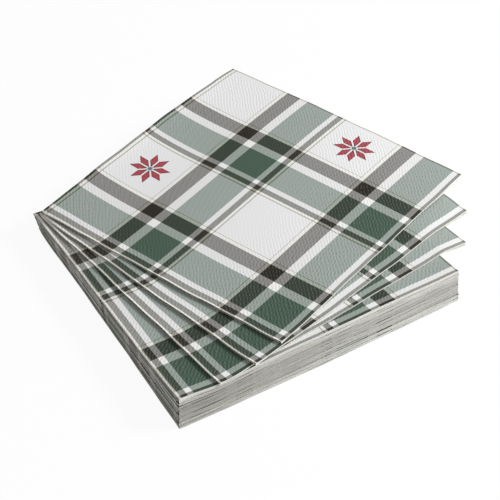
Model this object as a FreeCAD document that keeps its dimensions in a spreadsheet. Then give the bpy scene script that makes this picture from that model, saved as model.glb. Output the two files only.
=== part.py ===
"""A stack of paper napkins: a squared block of them with three more fanned out on top.

Millimetres. The origin is the middle of the block's underside and +Z is up. Every napkin is one
square sheet folded twice into a quarter. The first fold lies along the left side (-X) and the
second one along the back (+Y), so the closed corner, which is the middle of the flat sheet, is at
the back left. The cut edges of the paper show at the front (-Y) and at the right (+X). The block is
pressed flat at the closed corner and looser towards the cut edges, so its top slopes. The fanned
napkins are turned counterclockwise about a point beside the closed corner, and they spring up
towards their back right corner, so they are twisted.
"""

import FreeCAD, Part
import os
import Sketcher

SHEET = "Dimensions"

# The driving dimensions: alias, value, meaning
DRIVING = [
    ("folded_side", 165.0, "side of a folded napkin, half of the flat sheet's side"),
    ("paper", 0.22, "thickness of the embossed three-ply paper"),
    ("leaf_gap", 0.03, "air between the leaves of one napkin"),
    ("napkin_gap", 0.02, "air between one napkin and the next at the closed corner"),
    ("right_rise", 0.1, "how much more air each napkin of the block has below its right side"),
    ("front_rise", 0.1, "how much more air each napkin of the block has below its front"),
    ("fan_gap", 0.2, "air below each fanned napkin at its closed corner"),
    ("back_spring", 5.5, "how far the top napkin's back right corner springs up off the block"),
    ("front_spring", 0.6, "how far the top napkin's front right corner springs up off the block"),
    ("first_lap", 0.4, "inner leaves end this far short of the outer ones, at the right"),
    ("second_lap", 0.6, "the upper two leaves end this far short of the lower two, at the front"),
    ("block_count", 17, "napkins in the squared block"),
    ("jog", 0.45, "largest shift of a napkin in the block, to each side"),
    ("twist_degrees", 0.25, "largest turn of a napkin in the block"),
    ("right_wave_degrees", 137.5, "wave angle from one napkin's rightward shift to the next one's"),
    ("back_wave_degrees", 222.0, "wave angle from one napkin's backward shift to the next one's"),
    ("twist_wave_degrees", 81.0, "wave angle from one napkin's turn to the next one's"),
    ("pivot_inset", 17.8, "from the left side to the point that the fan turns about"),
    ("pivot_outset", 4.4, "from the back to that point, outside the napkins"),
    ("low_turn_degrees", 7.0, "turn of the lowest fanned napkin"),
    ("middle_turn_degrees", 14.0, "turn of the middle fanned napkin"),
    ("top_turn_degrees", 20.0, "turn of the top fanned napkin"),
]

FAN_TURNS = ["low_turn_degrees", "middle_turn_degrees", "top_turn_degrees"]

# Expressions for the sizes that follow from the driving ones
HALF_SIDE = f"({SHEET}.folded_side / 2)"
HALF_GAP = f"({SHEET}.leaf_gap / 2)"
HALF_PAIR = f"({SHEET}.paper + {HALF_GAP})"
PAIR_HEIGHT = f"({SHEET}.paper + {SHEET}.leaf_gap)"
HALF_THICKNESS = f"({PAIR_HEIGHT} + {HALF_PAIR})"
PITCH = f"(2 * {HALF_THICKNESS} + {SHEET}.napkin_gap)"
MIDDLE_PITCH = f"({PITCH} + {SHEET}.right_rise / 2 + {SHEET}.front_rise / 2)"
RIGHT_SLOPE = f"({SHEET}.right_rise / {SHEET}.folded_side)"
FRONT_SLOPE = f"({SHEET}.front_rise / {SHEET}.folded_side)"
CREASE_DEPTH = HALF_PAIR
OUTER_REACH = HALF_SIDE
INNER_REACH = f"({HALF_SIDE} - {SHEET}.first_lap)"
FOLD_START = f"({HALF_SIDE} - {HALF_THICKNESS})"
LOWER_LENGTH = f"({HALF_SIDE} + {FOLD_START})"
UPPER_LENGTH = f"({LOWER_LENGTH} - {SHEET}.second_lap)"
PIVOT_X = f"({SHEET}.pivot_inset - {HALF_SIDE})"
PIVOT_Y = f"({SHEET}.pivot_outset + {HALF_SIDE})"

# The two ends of a sketch line, and the sketch's own origin, as constraints name them
START, END = 1, 2
ORIGIN = (-1, 1)


def make_sheet(doc):
    """Makes the spreadsheet with one driving dimension a row."""
    sheet = doc.addObject("Spreadsheet::Sheet", SHEET)
    for row, (alias, value, meaning) in enumerate(DRIVING, start=1):
        sheet.set(f"A{row}", alias)
        sheet.set(f"B{row}", str(value))
        sheet.setAlias(f"B{row}", alias)
        sheet.set(f"C{row}", meaning)
    doc.recompute()
    return sheet


def draw_outline(sketch, corners):
    """Draws the closed outline through the corners and returns its lines, joined end to end."""
    points = [FreeCAD.Vector(across, up, 0) for across, up in corners]
    edges = []
    for start, end in zip(points, points[1:] + points[:1]):
        edges.append(sketch.addGeometry(Part.LineSegment(start, end)))
    for edge, following in zip(edges, edges[1:] + edges[:1]):
        sketch.addConstraint(Sketcher.Constraint("Coincident", edge, END, following, START))
    return edges


def bind_distance(sketch, name, kind, start, end, expression):
    """Adds a named distance from one point to another and binds it to the expression."""
    value = float(sketch.evalExpression(expression))
    index = sketch.addConstraint(Sketcher.Constraint(kind, *start, *end, value))
    sketch.renameConstraint(index, name)
    sketch.setExpression(f"Constraints.{name}", expression)


def draw_pair(body, name, above, place):
    """Draws the section of two leaves joined by the first fold, a hairpin that opens to the right.

    The fold is a pressed crease with a blunt point. The pair lies above or below the middle of the
    napkin. The leaf on the napkin's outside, the higher one of the upper pair and the lower one of
    the lower pair, reaches further right than the other. The place is that of the section in the
    napkin, with right as its first axis, up as its second and forward as its third.
    """
    sketch = body.newObject("Sketcher::SketchObject", name)
    planes = {plane.Role: plane for plane in body.Origin.OriginFeatures}
    sketch.AttachmentSupport = [(planes["XZ_Plane"], "")]
    sketch.MapMode = "FlatFace"
    sketch.setExpression("AttachmentOffset", place)

    high_reach, low_reach = (OUTER_REACH, INNER_REACH) if above else (INNER_REACH, OUTER_REACH)
    high_end = float(sketch.evalExpression(high_reach))
    low_end = float(sketch.evalExpression(low_reach))
    face = float(sketch.evalExpression(HALF_PAIR))
    lining = float(sketch.evalExpression(HALF_GAP))
    middle = float(sketch.evalExpression(PAIR_HEIGHT)) * (1 if above else -1)
    point_x = -float(sketch.evalExpression(HALF_SIDE))
    crease_x = point_x + float(sketch.evalExpression(CREASE_DEPTH))

    corners = [
        (crease_x, middle + face),
        (high_end, middle + face),
        (high_end, middle + lining),
        (crease_x, middle + lining),
        (crease_x, middle - lining),
        (low_end, middle - lining),
        (low_end, middle - face),
        (crease_x, middle - face),
        (point_x, middle),
    ]
    edges = draw_outline(sketch, corners)
    high_face, high_cut, high_lining, crease_lining, low_lining, low_cut, low_face = edges[:7]
    point = (edges[8], START)

    for edge in (high_face, high_lining, low_lining, low_face):
        sketch.addConstraint(Sketcher.Constraint("Horizontal", edge))
    for edge in (high_cut, crease_lining, low_cut):
        sketch.addConstraint(Sketcher.Constraint("Vertical", edge))
    sketch.addConstraint(Sketcher.Constraint("Vertical", high_face, START, low_face, END))

    bind_distance(sketch, "face_above", "DistanceY", point, (high_face, START), HALF_PAIR)
    bind_distance(sketch, "face_below", "DistanceY", (low_face, END), point, HALF_PAIR)
    bind_distance(sketch, "lining_above", "DistanceY", point, (high_lining, END), HALF_GAP)
    bind_distance(sketch, "lining_below", "DistanceY", (low_lining, START), point, HALF_GAP)
    bind_distance(sketch, "face_crease", "DistanceX", point, (high_face, START), CREASE_DEPTH)
    bind_distance(sketch, "lining_crease", "DistanceX", point, (high_lining, END), CREASE_DEPTH)
    bind_distance(sketch, "fold_side", "DistanceX", point, ORIGIN, HALF_SIDE)
    bind_distance(sketch, "high_reach", "DistanceX", ORIGIN, (high_face, END), high_reach)
    bind_distance(sketch, "low_reach", "DistanceX", ORIGIN, (low_face, START), low_reach)
    height_ends = (ORIGIN, point) if above else (point, ORIGIN)
    bind_distance(sketch, "pair_height", "DistanceY", *height_ends, PAIR_HEIGHT)
    return sketch


def lay_pair(body, name, section, length):
    """Runs a pair of leaves straight forward from the second fold."""
    pad = body.newObject("PartDesign::Pad", f"{name}_leaves")
    pad.Profile = section
    pad.setExpression("Length", length)
    section.Visibility = False
    return pad


def twist_pair(body, name, section, length, drop):
    """Runs a pair of leaves forward from the second fold and lets its front right corner down.

    The front section is turned about the pair's left end, so the first fold stays straight. A
    shorter pair is let down in proportion to its length.
    """
    front_drop = f"({drop} * {length} / {LOWER_LENGTH})"
    turn = f"-atan({front_drop} / {SHEET}.folded_side)"
    place = f"placement(vector(0; -{front_drop} / 2; {length} - {FOLD_START}); rotation({turn}; 0; 0))"
    front = draw_pair(body, f"{name}_front_section", name == "upper", place)
    body.Document.recompute()
    loft = body.newObject("PartDesign::AdditiveLoft", f"{name}_leaves")
    loft.Profile = section
    loft.Sections = [front]
    loft.Ruled = True
    section.Visibility = False
    front.Visibility = False
    return loft


def wrap_second_fold(body, section):
    """Turns the upper pair of leaves half round at the back, down into the lower pair."""
    fold = body.newObject("PartDesign::Revolution", "second_fold")
    fold.Profile = section
    fold.ReferenceAxis = (section, ["H_Axis"])
    fold.Angle = 180
    fold.Reversed = True
    return fold


def fold_napkin(doc, name, drop=None):
    """Makes one folded napkin, centred on its own origin with the second fold at the back.

    The napkin is flat, or with a drop twisted, so that its front right corner lies that much lower.
    """
    body = doc.addObject("PartDesign::Body", name)
    body.Label = name
    at_fold = f"placement(vector(0; 0; -{FOLD_START}); rotation(0; 0; 0))"
    upper = draw_pair(body, "upper_section", True, at_fold)
    lower = draw_pair(body, "lower_section", False, at_fold)
    doc.recompute()
    if drop is None:
        lay_pair(body, "upper", upper, UPPER_LENGTH)
    else:
        twist_pair(body, "upper", upper, UPPER_LENGTH, drop)
    wrap_second_fold(body, upper)
    if drop is None:
        lay_pair(body, "lower", lower, LOWER_LENGTH)
    else:
        twist_pair(body, "lower", lower, LOWER_LENGTH, drop)
    return body


def set_place(body, middle, turn, right_slope, back_slope):
    """Binds where the napkin lies: its middle, its turn in degrees and how steeply it rises."""
    rotation = f"rotation({turn}; -atan({right_slope}); atan({back_slope}))"
    body.setExpression("Placement", f"placement(vector({'; '.join(middle)}); {rotation})")


def wave(size, wave_degrees, level):
    """A shift or turn that swings between plus and minus its size from napkin to napkin."""
    return f"{SHEET}.{size} * sin({level} * {SHEET}.{wave_degrees} * 1deg)"


def stack_block(doc, count):
    """Lays the squared block, in which no napkin lies quite straight on the one below."""
    for level in range(count):
        napkin = fold_napkin(doc, f"napkin_{level + 1:02d}")
        right = wave("jog", "right_wave_degrees", level)
        back = wave("jog", "back_wave_degrees", level)
        height = f"{level} * {MIDDLE_PITCH} + {HALF_THICKNESS}"
        turn = wave("twist_degrees", "twist_wave_degrees", level)
        right_slope, back_slope = f"{level} * {RIGHT_SLOPE}", f"-{level} * {FRONT_SLOPE}"
        set_place(napkin, (right, back, height), turn, right_slope, back_slope)


def lay_fan(doc, count):
    """Lays the fanned napkins on the block's slope, each turned further about the same point.

    Each one springs up more than the one below it, in equal shares of the top napkin's springs.
    """
    slope_right, slope_front = f"({count} * {RIGHT_SLOPE})", f"({count} * {FRONT_SLOPE})"
    last = len(FAN_TURNS) - 1
    for step, turn_name in enumerate(FAN_TURNS):
        back_rise = f"({SHEET}.back_spring * {step + 1} / {last + 1})"
        front_rise = f"({SHEET}.front_spring * {step} / {last})"
        napkin = fold_napkin(doc, f"fanned_napkin_{step + 1}", f"({back_rise} - {front_rise})")

        turn = f"{SHEET}.{turn_name}"
        angle = f"({turn} * 1deg)"
        right = f"({PIVOT_X} * (1 - cos{angle}) + {PIVOT_Y} * sin{angle})"
        back = f"({PIVOT_Y} * (1 - cos{angle}) - {PIVOT_X} * sin{angle})"

        block_top = f"{count} * {MIDDLE_PITCH} + {slope_right} * {right} - {slope_front} * {back}"
        paper_below = f"{2 * step + 1} * {HALF_THICKNESS} + {step + 1} * {SHEET}.fan_gap"
        height = f"{block_top} + {paper_below} + {back_rise} / 2"
        spring_slope = f"{back_rise} / {SHEET}.folded_side"
        right_slope = f"{slope_right} * cos{angle} - {slope_front} * sin{angle} + {spring_slope}"
        back_slope = f"-{slope_right} * sin{angle} - {slope_front} * cos{angle}"
        set_place(napkin, (right, back, height), turn, right_slope, back_slope)


def check(doc, bodies):
    """Stops unless every object was computed and every napkin is one valid solid."""
    for item in doc.Objects:
        if "Invalid" in item.State or "Error" in item.State:
            raise ValueError(f"{item.Label} was not computed: {item.State}")
    for body in bodies:
        shape = body.Shape
        if shape.isNull() or not shape.isValid() or len(shape.Solids) != 1:
            raise ValueError(f"{body.Label} is not one valid solid")


def main():
    doc = FreeCAD.newDocument("napkin_stack")
    sheet = make_sheet(doc)
    count = int(sheet.block_count)
    stack_block(doc, count)
    lay_fan(doc, count)
    doc.recompute()

    bodies = [item for item in doc.Objects if item.TypeId == "PartDesign::Body"]
    check(doc, bodies)
    os.makedirs("parts", exist_ok=True)
    for body in bodies:
        body.Shape.exportStep(f"parts/{body.Label}.step")
    top = max(body.Shape.BoundBox.ZMax for body in bodies)
    print(f"{len(bodies)} napkins, {top:.1f} mm high")


main()
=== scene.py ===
# %% [markdown]
# # A stack of paper napkins
#
# The object is a squared block of lunch napkins with three more fanned out on top of it. Every
# napkin is one square sheet of printed tissue, folded twice into a quarter. This lesson makes each
# one as a single closed mesh that follows the folds of the sheet, lays them on each other as soft
# paper lies, and prints a woven plaid on them with shader nodes alone.
#
# The measured model comes first. It says where each napkin lies, and nothing in it is moved.

# %% Load the measured napkins
import math

import bpy
import numpy as np
from mathutils import Matrix, Vector


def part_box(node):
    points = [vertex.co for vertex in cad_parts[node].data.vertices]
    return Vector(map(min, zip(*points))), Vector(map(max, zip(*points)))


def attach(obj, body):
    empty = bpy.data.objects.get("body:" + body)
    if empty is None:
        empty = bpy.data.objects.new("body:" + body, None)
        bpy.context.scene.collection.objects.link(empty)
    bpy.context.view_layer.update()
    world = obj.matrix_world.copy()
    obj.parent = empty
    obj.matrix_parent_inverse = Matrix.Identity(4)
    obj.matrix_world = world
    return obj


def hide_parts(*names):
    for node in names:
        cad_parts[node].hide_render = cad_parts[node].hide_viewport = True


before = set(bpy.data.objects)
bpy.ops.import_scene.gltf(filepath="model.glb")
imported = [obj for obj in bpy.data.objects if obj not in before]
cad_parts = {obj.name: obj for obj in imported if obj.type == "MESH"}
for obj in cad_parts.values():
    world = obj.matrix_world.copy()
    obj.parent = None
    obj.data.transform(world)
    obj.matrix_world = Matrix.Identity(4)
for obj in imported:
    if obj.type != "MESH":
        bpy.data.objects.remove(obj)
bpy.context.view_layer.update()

MM = 0.001
scene = bpy.context.scene
scene.view_settings.view_transform = "Standard"

# %% [markdown]
# ## Read the sizes
#
# A napkin that is turned has a box wider than its side, by a factor of cosine plus sine. The turn
# itself is read from the front right corner, which lies on the diagonal of the square, so it stands
# 45 degrees below the line to the right when the napkin isn't turned. Lengths in this lesson are in
# millimetres until a mesh is made, because paper is easier to think about that way.

# %% Find each napkin's middle and turn
block_nodes = sorted(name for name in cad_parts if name.startswith("napkin_"))
fan_nodes = sorted(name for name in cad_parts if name.startswith("fanned_napkin_"))


def place_of(node):
    """Middle of a napkin seen from above, in millimetres, and its turn in radians."""
    low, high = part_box(node)
    middle = (low + high) / 2 / MM
    corners = [vertex.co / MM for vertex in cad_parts[node].data.vertices]
    front_right = max(corners, key=lambda corner: corner.x - corner.y)
    turn = math.atan2(front_right.y - middle.y, front_right.x - middle.x) + math.radians(45)
    return middle.x, middle.y, turn


first_low, first_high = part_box(block_nodes[0])
first_turn = abs(place_of(block_nodes[0])[2])
SIDE = (first_high.x - first_low.x) / MM / (math.cos(first_turn) + math.sin(first_turn))
THICKNESS = (first_high.z - first_low.z) / MM
HALF = SIDE / 2
print(f"{len(block_nodes)} napkins in the block and {len(fan_nodes)} fanned out")
print(f"side {SIDE:.1f} mm, thickness {THICKNESS:.2f} mm")

# %% [markdown]
# ## Fold the sheet
#
# Fold a square sheet once and its section is a hairpin: two leaves, joined at the left by the first
# fold. Fold it again and that hairpin runs back, turns over at the second fold and comes forward
# below itself. So the whole napkin is one closed loop, the hairpin, carried along a path like a
# letter U lying on its side. The mesh is made in the same way, as rings of points along a path.
#
# The printed face is outside the hairpin and the bare face is its lining. Every point also gets its
# place on the flat sheet, measured from the sheet's middle, for the print to be laid on later. The
# points lie closer together near folds and edges, because that is where paper bends. The cut edges
# of the four leaves end almost flush, as they do on a pack that has been trimmed.

# %% Sizes of the folded sheet
LEAF_GAP = 0.03
PAPER = (THICKNESS - 3 * LEAF_GAP) / 4
FOLD_RADIUS = PAPER + LEAF_GAP / 2
TURN_RADIUS = PAPER + LEAF_GAP
FIRST_LAP = 0.05
SECOND_LAP = 0.05
CROWDING = 0.7
print(f"one leaf is {PAPER:.2f} mm thick, the first fold's radius is {FOLD_RADIUS:.2f} mm")

# %% Section and path of the folded sheet
def spaced(start, end, count):
    """Positions from start to end, closer together near both ends."""
    even = np.linspace(0, 1, count)
    return start + (end - start) * (even - CROWDING * np.sin(2 * np.pi * even) / (2 * np.pi))


def hairpin(count, fold_steps):
    """The section's loop: position across, offset from the pair's middle, place on the sheet."""
    bend = FOLD_RADIUS - HALF
    quarter = FOLD_RADIUS * np.pi / 2
    angles = np.linspace(np.pi / 2, 3 * np.pi / 2, fold_steps + 1)[1:-1]
    upper = spaced(HALF, bend, count)
    lower = spaced(bend, HALF - FIRST_LAP, count)
    on_sheet = np.concatenate([upper - bend + quarter, FOLD_RADIUS * (np.pi - angles),
                               bend - lower - quarter])
    rings = []
    for radius in (FOLD_RADIUS, LEAF_GAP / 2):
        across = np.concatenate([upper, bend + radius * np.cos(angles), lower])
        offset = radius * np.concatenate([np.ones(count), np.sin(angles), -np.ones(count)])
        rings.append(np.stack([across, offset, on_sheet]))
    outside, lining = rings
    return np.concatenate([outside, lining[:, ::-1]], axis=1)


def second_fold_path(count, fold_steps):
    """The path from the upper front end over the back to the lower one: position along, turn
    angle and place on the sheet."""
    bend = HALF - THICKNESS / 2
    quarter = TURN_RADIUS * np.pi / 2
    angles = np.linspace(0, np.pi, fold_steps + 1)[1:-1]
    upper = spaced(SECOND_LAP - HALF, bend, count)
    lower = spaced(bend, -HALF, count)
    along = np.concatenate([upper, np.full(len(angles), bend), lower])
    turn = np.concatenate([np.zeros(count), angles, np.full(count, np.pi)])
    on_sheet = np.concatenate([bend - upper + quarter, TURN_RADIUS * (np.pi / 2 - angles),
                               lower - bend - quarter])
    return np.stack([along, turn, on_sheet])


print("points in one ring of a napkin's mesh:", hairpin(40, 6).shape[1])

# %% [markdown]
# ## Join the rings with faces
#
# Neighbouring rings are joined by four-sided faces, and the two open ends are closed with a strip
# from the printed face to the lining. Those strips, the ends of the leaves and the lining get the
# second material slot, for bare tissue. Building the list of faces with array arithmetic takes no
# time, while adding them one at a time through an editing tool would be slow for twenty napkins.

# %% Faces of the folded sheet
PRINTED, BARE = 0, 1


def sheet_faces(rings, ring_size):
    """Four-sided faces of a folded sheet, and the material slot of each one."""
    here = np.arange(ring_size)
    following = (here + 1) % ring_size
    start = np.arange(rings - 1)[:, None] * ring_size
    walls = np.stack([start + here, start + here + ring_size,
                      start + following + ring_size, start + following], axis=-1)
    half = ring_size // 2
    wall_slots = np.where(here < half - 1, PRINTED, BARE)
    outer = np.arange(half - 1)
    lining = ring_size - 1 - outer
    first_end = np.stack([outer, outer + 1, lining - 1, lining], axis=-1)
    last_end = (first_end + (rings - 1) * ring_size)[:, ::-1]
    faces = np.concatenate([walls.reshape(-1, 4), first_end, last_end])
    slots = np.concatenate([np.tile(wall_slots, rings - 1), np.full(2 * len(outer), BARE)])
    return faces, slots


# %% [markdown]
# ## How the block lies
#
# A pack of tissue is springy. It fluffs up towards the back right, its closed corner is pinched
# flat because all the folds meet there, and the fan's own folds press it down beside that corner.
# The height of the block's top is written as one level with a few smooth hills and hollows on it.
# Each hill is a bell curve, which needs only a place, a height and a reach. The front and left
# edges also curl up, and a shallow dip in the front shows where the pack was held.

# %% Hills and edges
def hill(x, y, centre, reach):
    """A bell curve round a centre: 1 there, and almost nothing at twice the reach."""
    return np.exp(-((x - centre[0]) ** 2 + (y - centre[1]) ** 2) / reach ** 2)


def fade(distance, reach):
    """1 at an edge, fading with the distance from it."""
    return np.exp(-np.maximum(distance, 0) / reach)


CLOSED_CORNER = (-HALF, HALF)
FRONT_LEFT = (-HALF, -HALF)
FRONT_RIGHT = (HALF, -HALF)
BACK_RIGHT = (HALF, HALF)
UNDER_THE_FOLDS = (-40, 0)
print("a hill at half its reach is", round(float(hill(5, 0, (0, 0), 10)), 2), "of its height")

# %% Height of the block's top
REST_LEVEL = 18.0
RISE_TO_THE_RIGHT = 0.9
FALL_TO_THE_BACK = 0.2
FRONT_CURL, FRONT_CURL_REACH = 1.4, 9
LEFT_CURL, LEFT_CURL_REACH = 0.5, 8
HILLS = [(1.6, FRONT_LEFT, 34), (-0.5, FRONT_RIGHT, 30), (2.6, BACK_RIGHT, 70),
         (-2.0, CLOSED_CORNER, 44), (-1.5, UNDER_THE_FOLDS, 28)]
HELD_AT = -60
HELD_DIP, HELD_WIDTH, HELD_REACH = 2.0, 15, 14


def block_top(x, y):
    """Height of the block's top above the table."""
    x, y = np.clip(x, -HALF, HALF), np.clip(y, -HALF, HALF)
    height = REST_LEVEL + RISE_TO_THE_RIGHT * x / HALF - FALL_TO_THE_BACK * y / HALF
    height = height + FRONT_CURL * fade(HALF + y, FRONT_CURL_REACH)
    height = height + LEFT_CURL * fade(HALF + x, LEFT_CURL_REACH)
    for rise_of_hill, centre, reach in HILLS:
        height = height + rise_of_hill * hill(x, y, centre, reach)
    held = np.exp(-((x - HELD_AT) / HELD_WIDTH) ** 2) * fade(HALF + y, HELD_REACH)
    return height - HELD_DIP * held


for name, corner in {"closed": CLOSED_CORNER, "front left": FRONT_LEFT,
                     "front right": FRONT_RIGHT, "back right": BACK_RIGHT}.items():
    print(f"block height at the {name} corner: {block_top(*corner):.1f} mm")

# %% [markdown]
# ## Share the height out
#
# No two napkins in a pack are equally thick everywhere. Each gets a thickness that wanders slowly
# over it, and each gap below it opens a little towards the cut edges and the closed corner. The
# running total of these shares, divided by the total of them all, is where a napkin begins and
# ends. Because every share is positive, no napkin can cut through the next one, however much they
# wander. The top four are lifted off the rest at the front left corner, which leaves a dark gap
# there. At the closed corner the whole pack is stiff with folds and stands a little off the table.

# %% Shares of the height
LIFTED = 4
LIFTED_AIR, LIFTED_ALONG, LIFTED_INWARD = 0.75, 46, 9
LEAST_AIR = 0.03
EDGE_AIR, EDGE_AIR_REACH = 0.05, 5
CORNER_AIR, CORNER_AIR_REACH = 0.02, 40
WANDER = 0.18
rng = np.random.default_rng(12)
BLOCK = len(block_nodes)
wander_angle = rng.uniform(0, 2 * np.pi, BLOCK)
wander_phase = rng.uniform(0, 2 * np.pi, BLOCK)
wander_length = rng.uniform(60, 150, BLOCK)


def napkin_share(level, x, y):
    """A napkin's share of the block's height, about 1."""
    along = x * np.cos(wander_angle[level]) + y * np.sin(wander_angle[level])
    return 1 + WANDER * np.sin(2 * np.pi * along / wander_length[level] + wander_phase[level])


def gap_share(level, x, y):
    """The share of the air below a napkin."""
    if level == 0:
        return 0.0 * x
    front, right = fade(HALF + y, EDGE_AIR_REACH), fade(HALF - x, EDGE_AIR_REACH)
    gap = LEAST_AIR + EDGE_AIR * front + EDGE_AIR * right
    gap = gap + CORNER_AIR * hill(x, y, CLOSED_CORNER, CORNER_AIR_REACH)
    if level == BLOCK - LIFTED:
        gap = gap + LIFTED_AIR * fade(HALF + x, LIFTED_ALONG) * fade(HALF + y, LIFTED_INWARD)
    return gap


print("air below the lifted napkins at the front left:",
      round(float(gap_share(BLOCK - LIFTED, -HALF, -HALF)), 2), "of a napkin")

# %% Layers of the block
CORNER_LIFT, CORNER_LIFT_REACH = 3.0, 26


def block_layer(level, x, y):
    """Underside and top of one napkin in the block."""
    below = sum(napkin_share(k, x, y) + gap_share(k, x, y) for k in range(level))
    share = napkin_share(level, x, y)
    above = sum(napkin_share(k, x, y) + gap_share(k, x, y) for k in range(level + 1, BLOCK))
    floor = below + gap_share(level, x, y)
    base = CORNER_LIFT * hill(x, y, CLOSED_CORNER, CORNER_LIFT_REACH)
    scale = (block_top(x, y) - base) / (floor + share + above)
    return base + floor * scale, base + (floor + share) * scale


print("the lowest napkin at the closed corner lies from",
      *(round(float(height), 1) for height in block_layer(0, *CLOSED_CORNER)), "mm up")

# %% [markdown]
# ## How the fan lies
#
# The fanned napkins rest on the block, but they are stiffer than a single sheet, so where they
# reach past its right edge they droop only a little, the lowest one most. The top napkin springs up
# away from its first fold, most of all at the back right. Its upper face is a smooth function of
# the place on it, with a round puff along the second fold and a shallow hollow in front of that.
# The two napkins below share the air between it and the block.

# %% Place on the top napkin
top_x, top_y, top_turn = place_of(fan_nodes[-1])


def on_top_napkin(x, y):
    """Place on the top napkin: 0 to 1 from the second fold forward, 0 to 1 from the first fold."""
    dx, dy = x - top_x, y - top_y
    across = dx * math.cos(top_turn) + dy * math.sin(top_turn)
    back = dy * math.cos(top_turn) - dx * math.sin(top_turn)
    return (HALF - back) / SIDE, (HALF + across) / SIDE


def smooth_step(value, low, high):
    """0 below the low value, 1 above the high one, and a smooth rise between them."""
    t = np.clip((value - low) / (high - low), 0, 1)
    return t * t * (3 - 2 * t)


print(f"the top napkin is turned by {math.degrees(top_turn):.1f} degrees")

# %% Upper face of the top napkin
FOLD_LINE = 19.5
CLOSED_END_RISE, FRONT_END_RISE = 1.0, 2.6
SPRING, SPRING_AT_FRONT, SPRING_AT_BACK = 7.3, 0.85, 0.9
PUFF, PUFF_REACH = 2.4, 0.04
HOLLOW, HOLLOW_PLACE, HOLLOW_REACH = 0.9, 0.2, 0.12
SPRING_FROM, SPRING_TO = -0.03, 0.97


def top_surface(x, y):
    """Height of the top napkin's upper face."""
    forward, across = on_top_napkin(x, y)
    forward, across = np.clip(forward, 0, 1), np.clip(across, 0, 1)
    fold_line = FOLD_LINE + CLOSED_END_RISE * (1 - forward) ** 4 + FRONT_END_RISE * forward ** 4
    lift = SPRING * (1 - SPRING_AT_FRONT * forward ** 3) - SPRING_AT_BACK * (1 - forward) ** 6
    middle = 4 * across * (1 - across)
    puff = PUFF * np.exp(-forward / PUFF_REACH)
    puff = puff - HOLLOW * np.exp(-((forward - HOLLOW_PLACE) / HOLLOW_REACH) ** 2)
    return fold_line + lift * smooth_step(across, SPRING_FROM, SPRING_TO) + middle * puff


print(f"the top napkin's middle lies {float(top_surface(top_x, top_y)):.1f} mm up")

# %% Surfaces of the fan
FAN_PITCH = 1.05
DROOP = (0.18, 0.11, 0.11)
EDGE_BEND = 4
RISE_BEHIND = 0.02
AIR_SHARES = (0.25, 0.55, 1.0)
PAST_FRONT, PAST_FIRST_FOLD = (1.0, 1.08), (-0.06, 0.02)


def fan_support(step, x, y):
    """The block's top, carried on past its edges with the droop of what overhangs."""
    right = np.maximum(x - HALF, 0)
    behind = np.maximum(y - HALF, 0)
    droop = DROOP[step] * (np.sqrt(right ** 2 + EDGE_BEND ** 2) - EDGE_BEND)
    return block_top(x, y) - droop + RISE_BEHIND * behind


def fan_top(step, x, y):
    """Upper face of a fanned napkin; step 0 is the lowest."""
    forward, across = on_top_napkin(x, y)
    covered = (1 - smooth_step(forward, *PAST_FRONT)) * smooth_step(across, *PAST_FIRST_FOLD)
    support = fan_support(step, x, y)
    air = np.maximum(top_surface(x, y) - support - FAN_PITCH * len(fan_nodes), 0) * covered
    return support + FAN_PITCH * (step + 1) + AIR_SHARES[step] * air


print("upper faces over the block's middle:",
      [round(float(fan_top(step, 0, 0)), 1) for step in range(len(fan_nodes))], "mm")

# %% [markdown]
# ## The plan of one napkin
#
# The heights are known now, and the plan comes next. A cut or folded edge of soft paper is never
# quite straight, so the points near each edge wander by a hair, as the sum of a long wave and a
# short one. The closed corner, where the folds meet, can't be sharp, so it is drawn in along its
# diagonal. A negative rounding lets it stand out instead, as the pressed corners in the upper half
# of the block do.

# %% Plan of one napkin
SOFT_EDGE = 14
CORNER_REACH = 2.5
EDGE_WAVES = {"left": (9.5, 4.1), "right": (8.3, 3.7), "front": (9.1, 3.9), "back": (8.9, 4.3)}
SHORT_WAVE = 0.6


def to_plan(place, across, back):
    """Turns and moves points of a napkin to where it lies."""
    x, y, turn = place
    return (x + across * math.cos(turn) - back * math.sin(turn),
            y + across * math.sin(turn) + back * math.cos(turn))


def soft_plan(seed, across, back, waviness, rounding):
    """Edges that wander and a rounded closed corner, in the napkin's own plan."""
    phases = np.random.default_rng(seed).uniform(0, 2 * np.pi, (len(EDGE_WAVES), 2))
    distance = {"left": HALF + across, "right": HALF - across,
                "front": HALF + back, "back": HALF - back}
    shift = {}
    for (edge, lengths), phase in zip(EDGE_WAVES.items(), phases):
        place = back if edge in ("left", "right") else across
        wave = np.sin(place / lengths[0] + phase[0])
        wave = wave + SHORT_WAVE * np.sin(place / lengths[1] + phase[1])
        shift[edge] = waviness * wave * fade(distance[edge], SOFT_EDGE)
    corner = rounding * np.exp(-(distance["left"] + distance["back"]) / CORNER_REACH)
    return (across + (shift["left"] + shift["right"]) + corner,
            back + (shift["front"] + shift["back"]) - corner)


print("the lowest napkin's middle is at", [round(value, 1) for value in place_of(block_nodes[0])[:2]])

# %% [markdown]
# ## The block leans
#
# A pack that has been handled isn't plumb. Its lower napkins spread a little at the front, bulge
# forward in the middle of it, and sit further in along the left side, while the upper ones stand
# back a little at the right. Where a hand has pushed a few napkins at once, the front shows a
# ledge. The measured napkins are jogged further out of line than the real ones look, so each one is
# drawn most of the way to their average place.

# %% Even places
EVENNESS = 0.85
block_places = np.array([place_of(node) for node in block_nodes])


def settled_place(level):
    """Place of a napkin in the block, most of the way from its own to the average one."""
    return block_places[level] + EVENNESS * (block_places.mean(axis=0) - block_places[level])


print("left out of line, in mm:", np.ptp([settled_place(k)[:2] for k in range(BLOCK)], axis=0).round(2))

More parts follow.
